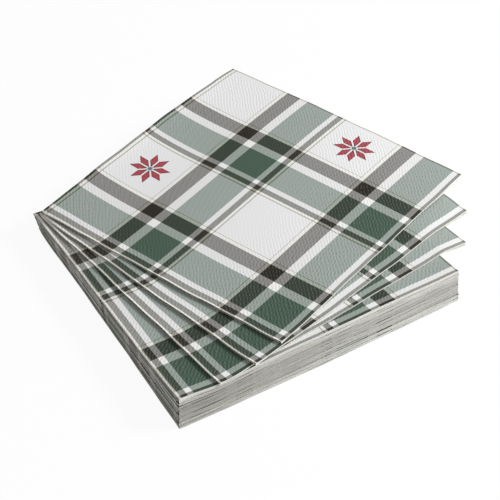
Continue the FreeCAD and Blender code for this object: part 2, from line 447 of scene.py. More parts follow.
# %% Lean and ledges
LEDGES = {4: 0.3, 9: 0.1, BLOCK - LIFTED: -0.2}
LEDGE_FROM, LEDGE_TO = -HALF - 10, 10
LEAN_REACH = 60
SPREAD_RIGHT, SPREAD_LEFT = 1.75, 1.1
PUSHED_IN, KEPT_AT_CORNER = 2.2, 1.4
BULGE, BULGE_AT_ENDS = 3.6, 0.2
LEAN_BACK, LEAN_FORWARD, LEAN_CURVE = 1.0, 1.5, 0.7
KEPT_REACH = 30


def lean(level, x, y):
    """How far right and back a napkin of the block stands from its settled place."""
    low_in_block = 1 - level / (BLOCK - 1)
    towards_right = np.clip((x + HALF) / SIDE, 0, 1)
    spread = (SPREAD_RIGHT * towards_right - SPREAD_LEFT) * fade(HALF + y, LEAN_REACH)
    kept = KEPT_AT_CORNER * hill(x, y, CLOSED_CORNER, KEPT_REACH)
    right = low_in_block * (PUSHED_IN * (y + HALF) / SIDE - kept + spread)
    bulge = BULGE_AT_ENDS + BULGE * towards_right * (1 - towards_right)
    back = (LEAN_BACK - LEAN_FORWARD * low_in_block) * towards_right ** LEAN_CURVE
    back = back - low_in_block * bulge
    pushed = sum(step for start, step in LEDGES.items() if level >= start)
    pushed = pushed * smooth_step(x, LEDGE_FROM, LEDGE_TO) * fade(HALF + y, LEAN_REACH)
    return right, back + pushed


for name, corner in {"front left": FRONT_LEFT, "front right": FRONT_RIGHT}.items():
    right, back = lean(0, *corner)
    print(f"lowest napkin, {name}: {float(right):.1f} mm to the right, {float(back):.1f} mm back")

# %% Shape of a napkin in the block
EDGE_WAVE = 0.09
LOWEST_ROUNDING, ROUNDING_CHANGE = 0.6, -1.3


def block_points(node, level, rings, ring):
    """Points of a napkin in the block, in millimetres."""
    along, turn = rings[0][:, None], rings[1][:, None]
    across, offset = ring[0][None, :], ring[1][None, :]
    back = along + (TURN_RADIUS + offset) * np.sin(turn)
    height = (TURN_RADIUS + offset) * np.cos(turn) / THICKNESS + 0.5
    rounding = LOWEST_ROUNDING + ROUNDING_CHANGE * level / (BLOCK - 1)
    across, back = soft_plan(level, across + 0 * back, back, EDGE_WAVE, rounding)
    x, y = to_plan(settled_place(level), across, back)
    right, backward = lean(level, x, y)
    floor, top = block_layer(level, x, y)
    return np.stack([x + right, y + backward, floor + height * (top - floor)], axis=-1)


# %% [markdown]
# ## Open the fanned napkins a little
#
# Nothing presses on the fan, so its folds open. Away from the closed corner the upper pair of
# leaves stands off the lower one along the first fold, and each fold is undercut: its crest catches
# the light and its side turns down into shade. That gives every napkin the light and dark double
# line that the eye takes for a fold. At the loose corner the lower pair droops, the lowest napkin's
# only past the edge of the block. In plan each napkin has slipped a little from the measured fan,
# and the front edges of the lower two are bowed forward.

# %% Relief of a fanned napkin's folds
FOLD_SETBACK, SETBACK_REACH = 0.1, 8
UNDERCUT, UNDERCUT_REACH = 0.7, 3
CREST, CREST_REACH = 0.85, 2.8
CLOSED_REACH = 40


def open_folds(across, back, upper, in_pair):
    """How far right and up the points near the first fold move; 0 at the closed corner."""
    from_closed = np.hypot(HALF + across, HALF - back)
    away_from_closed = 1 - np.exp(-(from_closed / CLOSED_REACH) ** 2)
    setback = FOLD_SETBACK * (1 - upper) * fade(HALF + across, SETBACK_REACH)
    undercut = UNDERCUT * (1 - in_pair) * fade(HALF + across, UNDERCUT_REACH)
    crest = upper * CREST * fade(HALF + across, CREST_REACH)
    return (setback + undercut) * away_from_closed, crest * away_from_closed


print("half way down the first fold the crest stands up by",
      round(float(open_folds(-HALF, 0, 1, 1)[1]), 2), "mm")

# %% The loose corner
LOOSE_DROOP, LOOSE_REACH = (1.4, 1.5, 3.2), 17
AT_EDGE, CLEAR_OF_EDGE = 0.5, 7


def droop_loose(step, across, back, x, upper):
    """How far the lower leaves hang down at the loose corner."""
    loose = np.exp(-(np.hypot(HALF - across, HALF + back) / LOOSE_REACH) ** 2)
    if step == 0:
        loose = loose * smooth_step(x, HALF + AT_EDGE, HALF + CLEAR_OF_EDGE)
    return (1 - upper) * LOOSE_DROOP[step] * loose


print("the top napkin's loose corner hangs down by",
      round(float(droop_loose(2, HALF, -HALF, HALF, 0)), 1), "mm")

# %% Shape of a fanned napkin
BOW = (0.8, 1.3, 0.0)
SHIFT = ((0.3, 0.0), (-0.9, -1.2), (-0.5, 0.0))
ROUNDING = (1.0, 1.5, 0.2)
PRESSED = 0.85
FOLD_PUFF, PUFF_WIDTH = 0.4, 2.2
FAN_EDGE_WAVE = 0.16
FAN_SEED = 100


def fan_points(node, step, rings, ring):
    """Points of a fanned napkin, in millimetres."""
    along, turn = rings[0][:, None], rings[1][:, None]
    across, offset = ring[0][None, :], ring[1][None, :]
    puff = 1 + FOLD_PUFF * fade(HALF + across, PUFF_WIDTH) * (1 + 0 * along)
    back = along + (TURN_RADIUS + offset * puff) * np.sin(turn)
    height = (TURN_RADIUS + offset * puff) * np.cos(turn)
    across = across + 0 * back
    upper = np.clip(0.5 + height / (2 * TURN_RADIUS), 0, 1)
    in_pair = np.clip(0.5 + 0.5 * offset * np.cos(turn) / FOLD_RADIUS, 0, 1)
    inward, crest = open_folds(across, back, upper, in_pair)
    flat_across, flat_back = soft_plan(FAN_SEED + step, across, back, FAN_EDGE_WAVE, ROUNDING[step])
    bow = BOW[step] * 4 * (0.25 - (across / SIDE) ** 2) * ((HALF - back) / SIDE) ** 2
    right, behind = SHIFT[step]
    x, y = to_plan(place_of(node), flat_across + right + inward, flat_back - bow + behind)
    z = fan_top(step, x, y) + PRESSED * (height - THICKNESS / 2) + crest
    return np.stack([x, y, z - droop_loose(step, across, back, x, upper)], axis=-1)


# %% [markdown]
# ## Make the meshes
#
# A mesh takes its points, faces and material slots straight from the arrays. The place on the flat
# sheet goes into a texture map, where one unit is one repeat of the plaid, because every material
# can read such a map and it stays with the paper wherever the paper is bent. How far the ink is
# rubbed off a fold goes in as a number on each point, a named attribute that the material reads.
# Faces are smooth, and edges sharper than 40 degrees, which are the cut edges, stay sharp.

# %% Build one napkin object
REPEAT = SIDE / 2
SHARP_ANGLE = math.radians(40)


def make_napkin(name, node, points, on_sheet, scuff, faces, slots):
    """A napkin object that rides on the root body and stands for its node, which it hides."""
    mesh = bpy.data.meshes.new(name)
    mesh.from_pydata((points.reshape(-1, 3) * MM).tolist(), [], faces.tolist())
    mesh.polygons.foreach_set("material_index", slots.astype(np.int32))
    mesh.polygons.foreach_set("use_smooth", np.ones(len(faces), bool))
    corner_vertices = np.empty(len(mesh.loops), np.int32)
    mesh.loops.foreach_get("vertex_index", corner_vertices)
    sheet_map = mesh.uv_layers.new(name="sheet")
    sheet_map.data.foreach_set("uv", (on_sheet[corner_vertices] / REPEAT).astype(np.float32).ravel())
    rubbed = mesh.attributes.new("scuff", "FLOAT", "POINT")
    rubbed.data.foreach_set("value", scuff.astype(np.float32).ravel())
    mesh.set_sharp_from_angle(angle=SHARP_ANGLE)
    mesh.update()
    napkin = bpy.data.objects.new(name, mesh)
    scene.collection.objects.link(napkin)
    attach(napkin, "root")
    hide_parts(node)
    return napkin


print(f"the print repeats every {REPEAT:.1f} mm, so it has four repeats across the sheet")

# %% Places on the sheet and scuff
SCUFF_REACH = 0.6


def sheet_places(rings, ring, slip):
    """Place on the flat sheet of every point; the slip is how far off the print was laid."""
    across = np.broadcast_to(ring[2][None, :] + slip[0], (rings.shape[1], ring.shape[1]))
    along = np.broadcast_to(rings[2][:, None] + slip[1], (rings.shape[1], ring.shape[1]))
    return np.stack([across, along], axis=-1).reshape(-1, 2)


def fold_scuff(rings, ring, strength):
    """How far the ink is rubbed off: strongest on the first fold."""
    rubbed = strength * fade(HALF + ring[0], SCUFF_REACH)
    return np.broadcast_to(rubbed, (rings.shape[1], ring.shape[1]))


print(f"one millimetre from a fold the scuff has faded to {float(fade(1, SCUFF_REACH)):.2f}")

# %% [markdown]
# ## Lay the napkins
#
# Napkins in the block show only their edges, so they get fewer points than the fanned ones. Sheets
# are cut and folded at speed, so below the top napkin of the block the print has slipped by one to
# two and a half millimetres across the sheet. That brings the slate stripe onto their folds, and
# the left side of the block goes dark. The folds are scuffed there, each by its own amount.

# %% Napkins of the block
BLOCK_POINTS, BLOCK_FOLD_STEPS = 42, 6
SLIP_LEAST, SLIP_MOST = (1.1, -0.8), (2.6, 0.8)
SCUFF, LEAST_SCUFF, SCUFF_RANGE = 0.5, 0.02, (0.1, 1.0)
napkins = []
ring = hairpin(BLOCK_POINTS, BLOCK_FOLD_STEPS)
rings = second_fold_path(BLOCK_POINTS, BLOCK_FOLD_STEPS)
faces, slots = sheet_faces(rings.shape[1], ring.shape[1])
for level, node in enumerate(block_nodes):
    slip = rng.uniform(SLIP_LEAST, SLIP_MOST) if level < BLOCK - 1 else (0, 0)
    places = sheet_places(rings, ring, slip)
    points = block_points(node, level, rings, ring)
    scuff = fold_scuff(rings, ring, SCUFF * rng.uniform(*SCUFF_RANGE) ** 2 + LEAST_SCUFF)
    napkin = make_napkin(f"paper_{node}", node, points, places, scuff, faces, slots)
    napkins.append(napkin)
print("block:", len(napkins), "napkins of", len(faces), "faces")

# %% Napkins of the fan
FAN_POINTS, FAN_FOLD_STEPS = 66, 10
ring = hairpin(FAN_POINTS, FAN_FOLD_STEPS)
rings = second_fold_path(FAN_POINTS, FAN_FOLD_STEPS)
faces, slots = sheet_faces(rings.shape[1], ring.shape[1])
for step, node in enumerate(fan_nodes):
    places = sheet_places(rings, ring, (0, 0))
    points = fan_points(node, step, rings, ring)
    scuff = fold_scuff(rings, ring, 0.0)
    napkin = make_napkin(f"paper_{node}", node, points, places, scuff, faces, slots)
    napkins.append(napkin)
print("fan:", len(fan_nodes), "napkins of", len(faces), "faces")

# %% [markdown]
# ## Helpers for shader nodes
#
# A print is arithmetic on the place on the sheet, so most of its nodes are small sums. One helper
# makes a sum of any kind and another mixes two colours. Values and sockets can be passed alike.

# %% Node helpers
def put(tree, socket, value):
    """Gives a socket a value or links another socket to it."""
    if isinstance(value, bpy.types.NodeSocket):
        tree.links.new(value, socket)
    else:
        socket.default_value = value


def compute(tree, operation, *values):
    """One sum on numbers."""
    node = tree.nodes.new("ShaderNodeMath")
    node.operation = operation
    for socket, value in zip(node.inputs, values):
        put(tree, socket, value)
    return node.outputs[0]


def mix_colours(tree, factor, first, second):
    """Mixes from the first colour to the second."""
    node = tree.nodes.new("ShaderNodeMix")
    node.data_type = "RGBA"
    colour_inputs = [socket for socket in node.inputs if socket.type == "RGBA"]
    put(tree, node.inputs[0], factor)
    put(tree, colour_inputs[0], first)
    put(tree, colour_inputs[1], second)
    return next(socket for socket in node.outputs if socket.type == "RGBA")


def gamma(tree, colour, power):
    """Raises a colour to a power."""
    node = tree.nodes.new("ShaderNodeGamma")
    put(tree, node.inputs["Color"], colour)
    node.inputs["Gamma"].default_value = power
    return node.outputs[0]


def rise(tree, value, low, high):
    """0 below the low value, 1 above the high one, smooth between."""
    node = tree.nodes.new("ShaderNodeMapRange")
    node.interpolation_type = "SMOOTHSTEP"
    put(tree, node.inputs["Value"], value)
    node.inputs["From Min"].default_value = low
    node.inputs["From Max"].default_value = high
    return node.outputs[0]


def display_colour(red, green, blue, alpha=1.0):
    """A colour as a screen shows it, 0 to 255, turned into the linear values that shaders use."""
    linear = [((value / 255 + 0.055) / 1.055) ** 2.4 for value in (red, green, blue)]
    return (*linear, alpha)


print("middle grey on a screen, 128, is", round(display_colour(128, 128, 128)[0], 3), "in a shader")

# %% [markdown]
# ## The plaid as a thread list
#
# A weaver writes a plaid as a list of stripes, each with its width and its thread colour, and uses
# the same list for both directions. Where two threads of one colour cross, the cloth has that
# colour, and where they differ the eye sees half of each. Printed plaids copy this with fine
# hatching. So the list below, read once across the sheet and once along it, gives the whole print:
# green bars with white, slate and charcoal stripes beside them, and between them a wide pale ground
# that is edged with a thin tan line and a cream one.
#
# The list goes into a colour ramp with hard steps. White stripes also carry a mark in the ramp's
# alpha, because two white stripes that cross leave the paper unprinted, and that is the brightest
# patch of all.

# %% The stripes of one repeat
CHARCOAL = display_colour(44, 41, 36, 0)
SLATE = display_colour(58, 58, 51, 0)
GREEN = display_colour(75, 94, 82, 0)
WHITE = display_colour(226, 226, 225, 1)
CREAM = display_colour(240, 238, 230, 0)
TAN = display_colour(116, 106, 84, 0)
GROUND = display_colour(234, 234, 234, 0)
PAPER_WHITE = display_colour(238, 238, 237)

STRIPES = [
    (3.3, SLATE), (3.2, WHITE), (19.3, GREEN), (5.5, WHITE), (9.5, CHARCOAL), (2.2, CREAM),
    (0.5, TAN), (36.7, GROUND), (0.5, TAN), (1.8, CREAM),
]
ACROSS_START = 1.4
ALONG_START = 1.5


def stripe_threads(tree, place):
    """Thread colour and white mark of the stripe at a place, which counts repeats."""
    ramp_node = tree.nodes.new("ShaderNodeValToRGB")
    ramp = ramp_node.color_ramp
    ramp.interpolation = "CONSTANT"
    total = sum(width for width, _ in STRIPES)
    ramp.elements[0].color = STRIPES[0][1]
    ramp.elements[1].position = STRIPES[0][0] / total
    ramp.elements[1].color = STRIPES[1][1]
    start = STRIPES[0][0] + STRIPES[1][0]
    for width, colour in STRIPES[2:]:
        ramp.elements.new(start / total).color = colour
        start += width
    put(tree, ramp_node.inputs["Fac"], compute(tree, "FRACT", place))
    return ramp_node.outputs["Color"], ramp_node.outputs["Alpha"]


print("stripes add up to", round(sum(width for width, _ in STRIPES), 2), "mm, repeat", REPEAT)

# %% [markdown]
# ## The star
#
# Every other ground square has an eight-petalled star, an old quilting and knitting figure. Each
# petal is a slanted box: two sides run along an axis and two along a diagonal. Folding the plane
# over its axes and its diagonals brings all eight petals onto one, so one petal's four sides are
# enough. The smallest distance inside them is also the distance from the petal's edge, and it
# darkens the outline as a real print does. The inner tips are darker still, round a small blue
# heart.

# %% Petals by distance
STAR_GAP = 0.5
PETAL_RISE = 4.5
PETAL_RUN = 7.1
STAR_HEART = 1.8
STAR_MIDDLE = (61.6, 61.2)
DIAGONAL = 0.707


def petal_depth(tree, across, along):
    """Distance in millimetres inside a petal, negative outside it."""
    across, along = compute(tree, "ABSOLUTE", across), compute(tree, "ABSOLUTE", along)
    high = compute(tree, "MAXIMUM", across, along)
    low = compute(tree, "MINIMUM", across, along)
    slant = compute(tree, "SUBTRACT", high, low)
    sides = [
        compute(tree, "SUBTRACT", low, STAR_GAP),
        compute(tree, "SUBTRACT", PETAL_RISE, low),
        compute(tree, "SUBTRACT", compute(tree, "MULTIPLY", slant, DIAGONAL), STAR_GAP),
        compute(tree, "MULTIPLY", compute(tree, "SUBTRACT", PETAL_RUN, slant), DIAGONAL),
    ]
    depth = sides[0]
    for side in sides[1:]:
        depth = compute(tree, "MINIMUM", depth, side)
    return depth


print(f"the star is {2 * (PETAL_RISE + PETAL_RUN):.1f} mm wide")

# %% [markdown]
# ## Printed tissue
#
# The material reads the place on the sheet, wobbles it by a tenth of a millimetre either way so
# that printed edges look inked and not cut, and looks the two stripes up. They are mixed half and
# half in the screen's own scale of brightness, with a fine diagonal hatch. Along the first fold a
# pale line is mixed in. Part of it is ink that cracks and rubs off as the paper is creased, and part
# of it is a painted highlight on the fold's crest. The scuff of each napkin adds rubbed-off ink to it.

# %% Place on the sheet
INK_WOBBLE = 0.003
WOBBLES = 90


def sheet_place(tree):
    """Place across and along the sheet, in repeats, with a slight wobble of the ink's edge."""
    uv = tree.nodes.new("ShaderNodeUVMap")
    uv.uv_map = "sheet"
    noise = tree.nodes.new("ShaderNodeTexNoise")
    noise.inputs["Scale"].default_value = WOBBLES
    noise.inputs["Detail"].default_value = 2
    tree.links.new(uv.outputs[0], noise.inputs["Vector"])
    parts = tree.nodes.new("ShaderNodeSeparateXYZ")
    tree.links.new(uv.outputs[0], parts.inputs[0])
    wobble = tree.nodes.new("ShaderNodeSeparateColor")
    tree.links.new(noise.outputs["Color"], wobble.inputs[0])
    moved = []
    for shift, place in zip(wobble.outputs[:2], parts.outputs[:2]):
        place = compute(tree, "MULTIPLY_ADD", shift, INK_WOBBLE, place)
        moved.append(compute(tree, "SUBTRACT", place, INK_WOBBLE / 2))
    return moved


# %% The star's colours
STAR_RED = display_colour(166, 68, 78)
STAR_PALE = display_colour(196, 116, 122)
STAR_EDGE = display_colour(124, 50, 58)
STAR_TIP = display_colour(72, 50, 56)
STAR_BLUE = display_colour(98, 120, 130)
INNER_TIP_START, INNER_TIP_END = 4.2, 1.6
OUTLINE_START, OUTLINE_END = 0.15, 0.7
MOTTLES = 150
MOTTLE_LOW, MOTTLE_HIGH = 0.45, 0.75


def petal_ink(tree, depth, distance):
    """Mottled red with a dark outline, darkest at the petal's inner tip."""
    mottle = tree.nodes.new("ShaderNodeTexNoise")
    mottle.inputs["Scale"].default_value = MOTTLES
    mottle.inputs["Detail"].default_value = 2
    uv = tree.nodes.new("ShaderNodeUVMap")
    uv.uv_map = "sheet"
    tree.links.new(uv.outputs[0], mottle.inputs["Vector"])
    mottled = rise(tree, mottle.outputs[0], MOTTLE_LOW, MOTTLE_HIGH)
    red = mix_colours(tree, mottled, STAR_RED, STAR_PALE)
    ink = mix_colours(tree, rise(tree, depth, OUTLINE_START, OUTLINE_END), STAR_EDGE, red)
    inner_tip = rise(tree, distance, INNER_TIP_START, INNER_TIP_END)
    return mix_colours(tree, inner_tip, ink, STAR_TIP)


# %% Stars on the plaid
PETAL_BLUR = 0.08
HEART_BLUR = 0.8


def add_stars(tree, plaid, across_place, along_place):
    """Prints the star on every other ground square."""
    cells = [compute(tree, "FLOOR", place) for place in (across_place, along_place)]
    half_sum = compute(tree, "MULTIPLY", compute(tree, "ADD", *cells), 0.5)
    every_other = compute(tree, "GREATER_THAN", compute(tree, "FRACT", half_sum), 0.25)
    from_middle = []
    for place, cell, middle in zip((across_place, along_place), cells, STAR_MIDDLE):
        inside = compute(tree, "SUBTRACT", place, cell)
        inside = compute(tree, "SUBTRACT", inside, middle / REPEAT)
        from_middle.append(compute(tree, "MULTIPLY", inside, REPEAT))
    depth = petal_depth(tree, *from_middle)
    petal = compute(tree, "MULTIPLY", rise(tree, depth, -PETAL_BLUR, PETAL_BLUR), every_other)
    squares = [compute(tree, "MULTIPLY", value, value) for value in from_middle]
    distance = compute(tree, "SQRT", compute(tree, "ADD", *squares))
    heart = rise(tree, distance, STAR_HEART, STAR_HEART - HEART_BLUR)
    heart = compute(tree, "MULTIPLY", heart, every_other)
    with_heart = mix_colours(tree, heart, plaid, STAR_BLUE)
    return mix_colours(tree, petal, with_heart, petal_ink(tree, depth, distance))


# %% The print's colour
HATCH_PITCH = 0.95
HATCH_DEPTH = 0.16
SCREEN_GAMMA = 2.2


def plaid_colour(tree, across, along, across_place, along_place):
    """Colour of the plaid where two stripes cross."""
    threads, white = stripe_threads(tree, across_place)
    crossing, crossing_white = stripe_threads(tree, along_place)
    slope = compute(tree, "ADD", across, along)
    turns = compute(tree, "MULTIPLY", slope, 2 * math.pi * REPEAT / HATCH_PITCH)
    hatch = compute(tree, "MULTIPLY_ADD", compute(tree, "SINE", turns), HATCH_DEPTH, 0.5)
    on_screen = [gamma(tree, colour, 1 / SCREEN_GAMMA) for colour in (threads, crossing)]
    plaid = gamma(tree, mix_colours(tree, hatch, *on_screen), SCREEN_GAMMA)
    bare = compute(tree, "MULTIPLY", white, crossing_white)
    return mix_colours(tree, bare, plaid, PAPER_WHITE)


# %% Ink worn off the folds, and a painted highlight on their crests
CREST_WEAR_AND_HIGHLIGHT = 0.75
WORN_AND_HIGHLIT_PAPER = display_colour(236, 230, 221)
PALE_CREST_MIDDLE = 0.3
PALE_CREST_OUTSIDE, PALE_CREST_INSIDE = 0.6, 0.4


def worn_and_highlit_fold(tree, plaid, across):
    """The plaid with a pale line on the first fold's crest, partly rubbed-off ink and partly a painted
    highlight, and with the scuff of each napkin.
    """
    from_fold = compute(tree, "SUBTRACT", across, PALE_CREST_MIDDLE / REPEAT)
    from_fold = compute(tree, "ABSOLUTE", from_fold)
    # the pale band on the fold's crest is partly worn ink and partly a painted highlight
    worn_and_highlit = rise(tree, from_fold, PALE_CREST_OUTSIDE / REPEAT, PALE_CREST_INSIDE / REPEAT)
    plaid = mix_colours(tree, compute(tree, "MULTIPLY", worn_and_highlit, CREST_WEAR_AND_HIGHLIGHT), plaid, WORN_AND_HIGHLIT_PAPER)
    scuff = tree.nodes.new("ShaderNodeAttribute")
    scuff.attribute_name = "scuff"
    return mix_colours(tree, scuff.outputs["Fac"], plaid, WORN_AND_HIGHLIT_PAPER)


def printed_colour(tree, across, along):
    """Colour of the whole print, with its stars."""
    across_place = compute(tree, "SUBTRACT", across, ACROSS_START / REPEAT)
    along_place = compute(tree, "SUBTRACT", ALONG_START / REPEAT, along)
    plaid = plaid_colour(tree, across, along, across_place, along_place)
    plaid = worn_and_highlit_fold(tree, plaid, across)
    return add_stars(tree, plaid, across_place, along_place)


# %% [markdown]
# ## The emboss
#
# Napkins are embossed so that their plies hold together. The pattern is a field of short wavy
# ridges that run along the napkin's diagonal. Ridges are a sine of the distance across them. One
# noise bends them in long waves, a finer one crumples them, and a second sine along them breaks
# them into short strokes. Near a cut edge, which is two repeats from the sheet's middle, ticks at
# right angles to the edge take over. Round one place on the sheet the roller pressed less. The bump
# distance is in metres, so the relief keeps its real height, about a tenth of a millimetre, at any
# scale.

# %% Strength of the emboss
FLAT_PLACE = (0.85, 0.75)
FLAT_REACH, FULL_REACH = 0.25, 1.1
LEAST_EMBOSS = 0.15


def emboss_strength(tree, across, along):
    """How deep the emboss is: nearly flat round one place, full at a distance from it."""
    from_flat_across = compute(tree, "SUBTRACT", across, FLAT_PLACE[0])
    from_flat_along = compute(tree, "SUBTRACT", along, FLAT_PLACE[1])
    squares = compute(tree, "ADD", compute(tree, "MULTIPLY", from_flat_across, from_flat_across),
                      compute(tree, "MULTIPLY", from_flat_along, from_flat_along))
    distance = compute(tree, "SQRT", squares)
    full = rise(tree, distance, FLAT_REACH, FULL_REACH)
    return compute(tree, "MULTIPLY_ADD", full, 1 - LEAST_EMBOSS, LEAST_EMBOSS)


# %% Bends of the ridges
LONG_BENDS, LONG_BEND_SIZE = 9, 0.035
CRUMPLES, CRUMPLE_SIZE = 34, 0.014


def ridge_bend(tree):
    """How far the ridges are bent, in repeats."""
    uv = tree.nodes.new("ShaderNodeUVMap")
    uv.uv_map = "sheet"
    bend = tree.nodes.new("ShaderNodeTexNoise")
    bend.inputs["Scale"].default_value = LONG_BENDS
    bend.inputs["Detail"].default_value = 1.5
    tree.links.new(uv.outputs[0], bend.inputs["Vector"])
    crumple = tree.nodes.new("ShaderNodeTexNoise")
    crumple.inputs["Scale"].default_value = CRUMPLES
    crumple.inputs["Detail"].default_value = 1
    tree.links.new(uv.outputs[0], crumple.inputs["Vector"])
    crumpled = compute(tree, "MULTIPLY", crumple.outputs[0], CRUMPLE_SIZE)
    return compute(tree, "MULTIPLY_ADD", bend.outputs[0], LONG_BEND_SIZE, crumpled)


# %% Ridges and ticks
RIDGE_PITCH = 1.75
STROKE_LENGTH = 3.1
STROKE_DEPTH = 0.45
TICK_PITCH = 1.3
TICK_BAND, TICK_FADE = 4.5, 1
TICK_STRENGTH = 0.25
BENT_STROKES = 1.7
CUT_EDGE = 2.0


def wave(tree, place, pitch):
    """A sine along a place in repeats, with a pitch in millimetres."""
    return compute(tree, "SINE", compute(tree, "MULTIPLY", place, 2 * math.pi * REPEAT / pitch))


def emboss_height(tree, across, along):
    """Height of the emboss, about -1 to 1."""
    bent = ridge_bend(tree)
    over_ridges = compute(tree, "MULTIPLY", compute(tree, "ADD", across, along), DIAGONAL)
    over_ridges = compute(tree, "ADD", over_ridges, bent)
    along_ridges = compute(tree, "MULTIPLY", compute(tree, "SUBTRACT", across, along), DIAGONAL)
    along_ridges = compute(tree, "MULTIPLY_ADD", bent, BENT_STROKES, along_ridges)
    strokes = wave(tree, along_ridges, STROKE_LENGTH)
    strokes = compute(tree, "MULTIPLY_ADD", strokes, STROKE_DEPTH, 1 - STROKE_DEPTH)
    ridges = compute(tree, "MULTIPLY", wave(tree, over_ridges, RIDGE_PITCH), strokes)
    ridges = compute(tree, "MULTIPLY", ridges, emboss_strength(tree, across, along))
    for place, other in ((across, along), (along, across)):
        from_edge = compute(tree, "SUBTRACT", CUT_EDGE, compute(tree, "ABSOLUTE", place))
        band = rise(tree, from_edge, TICK_BAND / REPEAT, (TICK_BAND - TICK_FADE) / REPEAT)
        ticks = compute(tree, "MULTIPLY", wave(tree, other, TICK_PITCH), TICK_STRENGTH)
        parts = compute(tree, "SUBTRACT", ticks, ridges)
        ridges = compute(tree, "MULTIPLY_ADD", parts, band, ridges)
    return ridges


print(f"ridges stand {RIDGE_PITCH} mm apart, in strokes of about {STROKE_LENGTH} mm")

# %% [markdown]
# ## The surface of tissue
#
# Tissue is matt: light that falls on it scatters between its fibres, so it is rough with hardly any
# gloss. A very fine noise stands for the fibres. It is added to the relief and stirs the roughness
# a little. Valleys of the emboss are darkened, partly by ink that pools there and partly by painted
# shade.
# Its ridges are lightened, partly by skipped ink and partly by a painted highlight. Dark stripes show
# it more than white ones.

# %% Surface of matt tissue
FIBRES = 2600
FIBRE_RELIEF = 0.5
LEAST_ROUGHNESS, ROUGHNESS_SPREAD = 0.84, 0.12
TISSUE_SPECULAR = 0.15


def tissue_surface(material, colour, relief, relief_depth):
    """Joins colour and relief to the shader of a material, with the fuzz of tissue added."""
    tree = material.node_tree
    shader = tree.nodes["Principled BSDF"]
    fuzz = tree.nodes.new("ShaderNodeTexNoise")
    fuzz.inputs["Scale"].default_value = FIBRES
    fuzz.inputs["Detail"].default_value = 3
    coordinates = tree.nodes.new("ShaderNodeTexCoord")
    tree.links.new(coordinates.outputs["Object"], fuzz.inputs["Vector"])
    height = compute(tree, "MULTIPLY_ADD", fuzz.outputs[0], FIBRE_RELIEF, relief)
    bump = tree.nodes.new("ShaderNodeBump")
    bump.inputs["Distance"].default_value = relief_depth * MM
    put(tree, bump.inputs["Height"], height)
    tree.links.new(bump.outputs[0], shader.inputs["Normal"])
    put(tree, shader.inputs["Roughness"],
        compute(tree, "MULTIPLY_ADD", fuzz.outputs[0], ROUGHNESS_SPREAD, LEAST_ROUGHNESS))
    shader.inputs["Specular IOR Level"].default_value = TISSUE_SPECULAR
    tree.links.new(colour, shader.inputs["Base Color"])
    return shader


# %% Printed tissue
EMBOSS_DEPTH = 0.08
VALLEY_INK_AND_SHADE = 0.5
RIDGE_SKIP_AND_HIGHLIGHT = 0.055
SLOPE_MIDDLE, VALLEY, RIDGE = 0.1, -0.8, 0.8
VALLEY_INK_AND_SHADE_GAMMA = 1.6


def make_printed_tissue():
    """Tissue with the plaid, its stars and the emboss. Valleys are darkened and ridges lightened,
    partly by ink and partly by painted shade and highlight.
    """
    material = bpy.data.materials.new("printed_tissue")
    material.use_nodes = True
    tree = material.node_tree
    across, along = sheet_place(tree)
    colour = printed_colour(tree, across, along)
    height = emboss_height(tree, across, along)
    brightness = tree.nodes.new("ShaderNodeRGBToBW")
    tree.links.new(colour, brightness.inputs[0])
    # valleys get pooled ink and painted shade, ridges skipped ink and a painted highlight, more on dark
    # print
    ink = compute(tree, "MULTIPLY", compute(tree, "SUBTRACT", 1.0, brightness.outputs[0]), VALLEY_INK_AND_SHADE)
    valley = compute(tree, "MULTIPLY", rise(tree, height, SLOPE_MIDDLE, VALLEY), ink)
    ridge = compute(tree, "MULTIPLY", rise(tree, height, SLOPE_MIDDLE, RIDGE), RIDGE_SKIP_AND_HIGHLIGHT)
    inked_and_shaded = mix_colours(tree, valley, colour, gamma(tree, colour, VALLEY_INK_AND_SHADE_GAMMA))
    inked_and_shaded = mix_colours(tree, ridge, inked_and_shaded, PAPER_WHITE)
    tissue_surface(material, inked_and_shaded, height, EMBOSS_DEPTH)
    return material


printed_tissue = make_printed_tissue()
print("nodes in the printed tissue:", len(printed_tissue.node_tree.nodes))

# %% [markdown]
# ## Bare tissue
#
# The linings and the cut edges show unprinted tissue, a warm off-white. On a packed edge a colour
# ramp by height paints light and shade: light bounced from the table on the lowest napkins,
# painted shade in the middle of the block, and painted full light on the loose ones at the top, with
# a noise that keeps the bands from being ruled lines. Ink and fibres that the knife drags along leave
# thin grey streaks, which are the same noise stretched flat. The end towards the left is darkened with
# painted shade. Streaks and that painted shade stop near the top, where the napkins lie loose.

# %% Colours of bare tissue
# painted light and shade by height: bounced light low down, shade in the middle of the block, full
# light at the top
BARE_LIGHT_BY_HEIGHT = [
    (0.0, display_colour(226, 226, 223)), (4.2, display_colour(222, 221, 217)),
    (5.2, display_colour(204, 203, 199)), (14.0, display_colour(199, 198, 193)),
    (16.5, display_colour(217, 215, 210)), (20.5, display_colour(242, 240, 234)),
]
BARE_STREAK = display_colour(128, 112, 98)
HIGHEST = 30.0


def bare_colour_lit_by_height(tree, height_in_metres):
    """Colour of bare tissue at a height above the table, with painted light and shade by height."""
    levels = tree.nodes.new("ShaderNodeValToRGB")
    ramp = levels.color_ramp
    ramp.elements[0].color = BARE_LIGHT_BY_HEIGHT[0][1]
    ramp.elements[1].position = BARE_LIGHT_BY_HEIGHT[-1][0] / HIGHEST
    ramp.elements[1].color = BARE_LIGHT_BY_HEIGHT[-1][1]
    for height, colour in BARE_LIGHT_BY_HEIGHT[1:-1]:
        ramp.elements.new(height / HIGHEST).color = colour
    put(tree, levels.inputs["Fac"], compute(tree, "DIVIDE", height_in_metres, HIGHEST * MM))
    return levels.outputs["Color"]


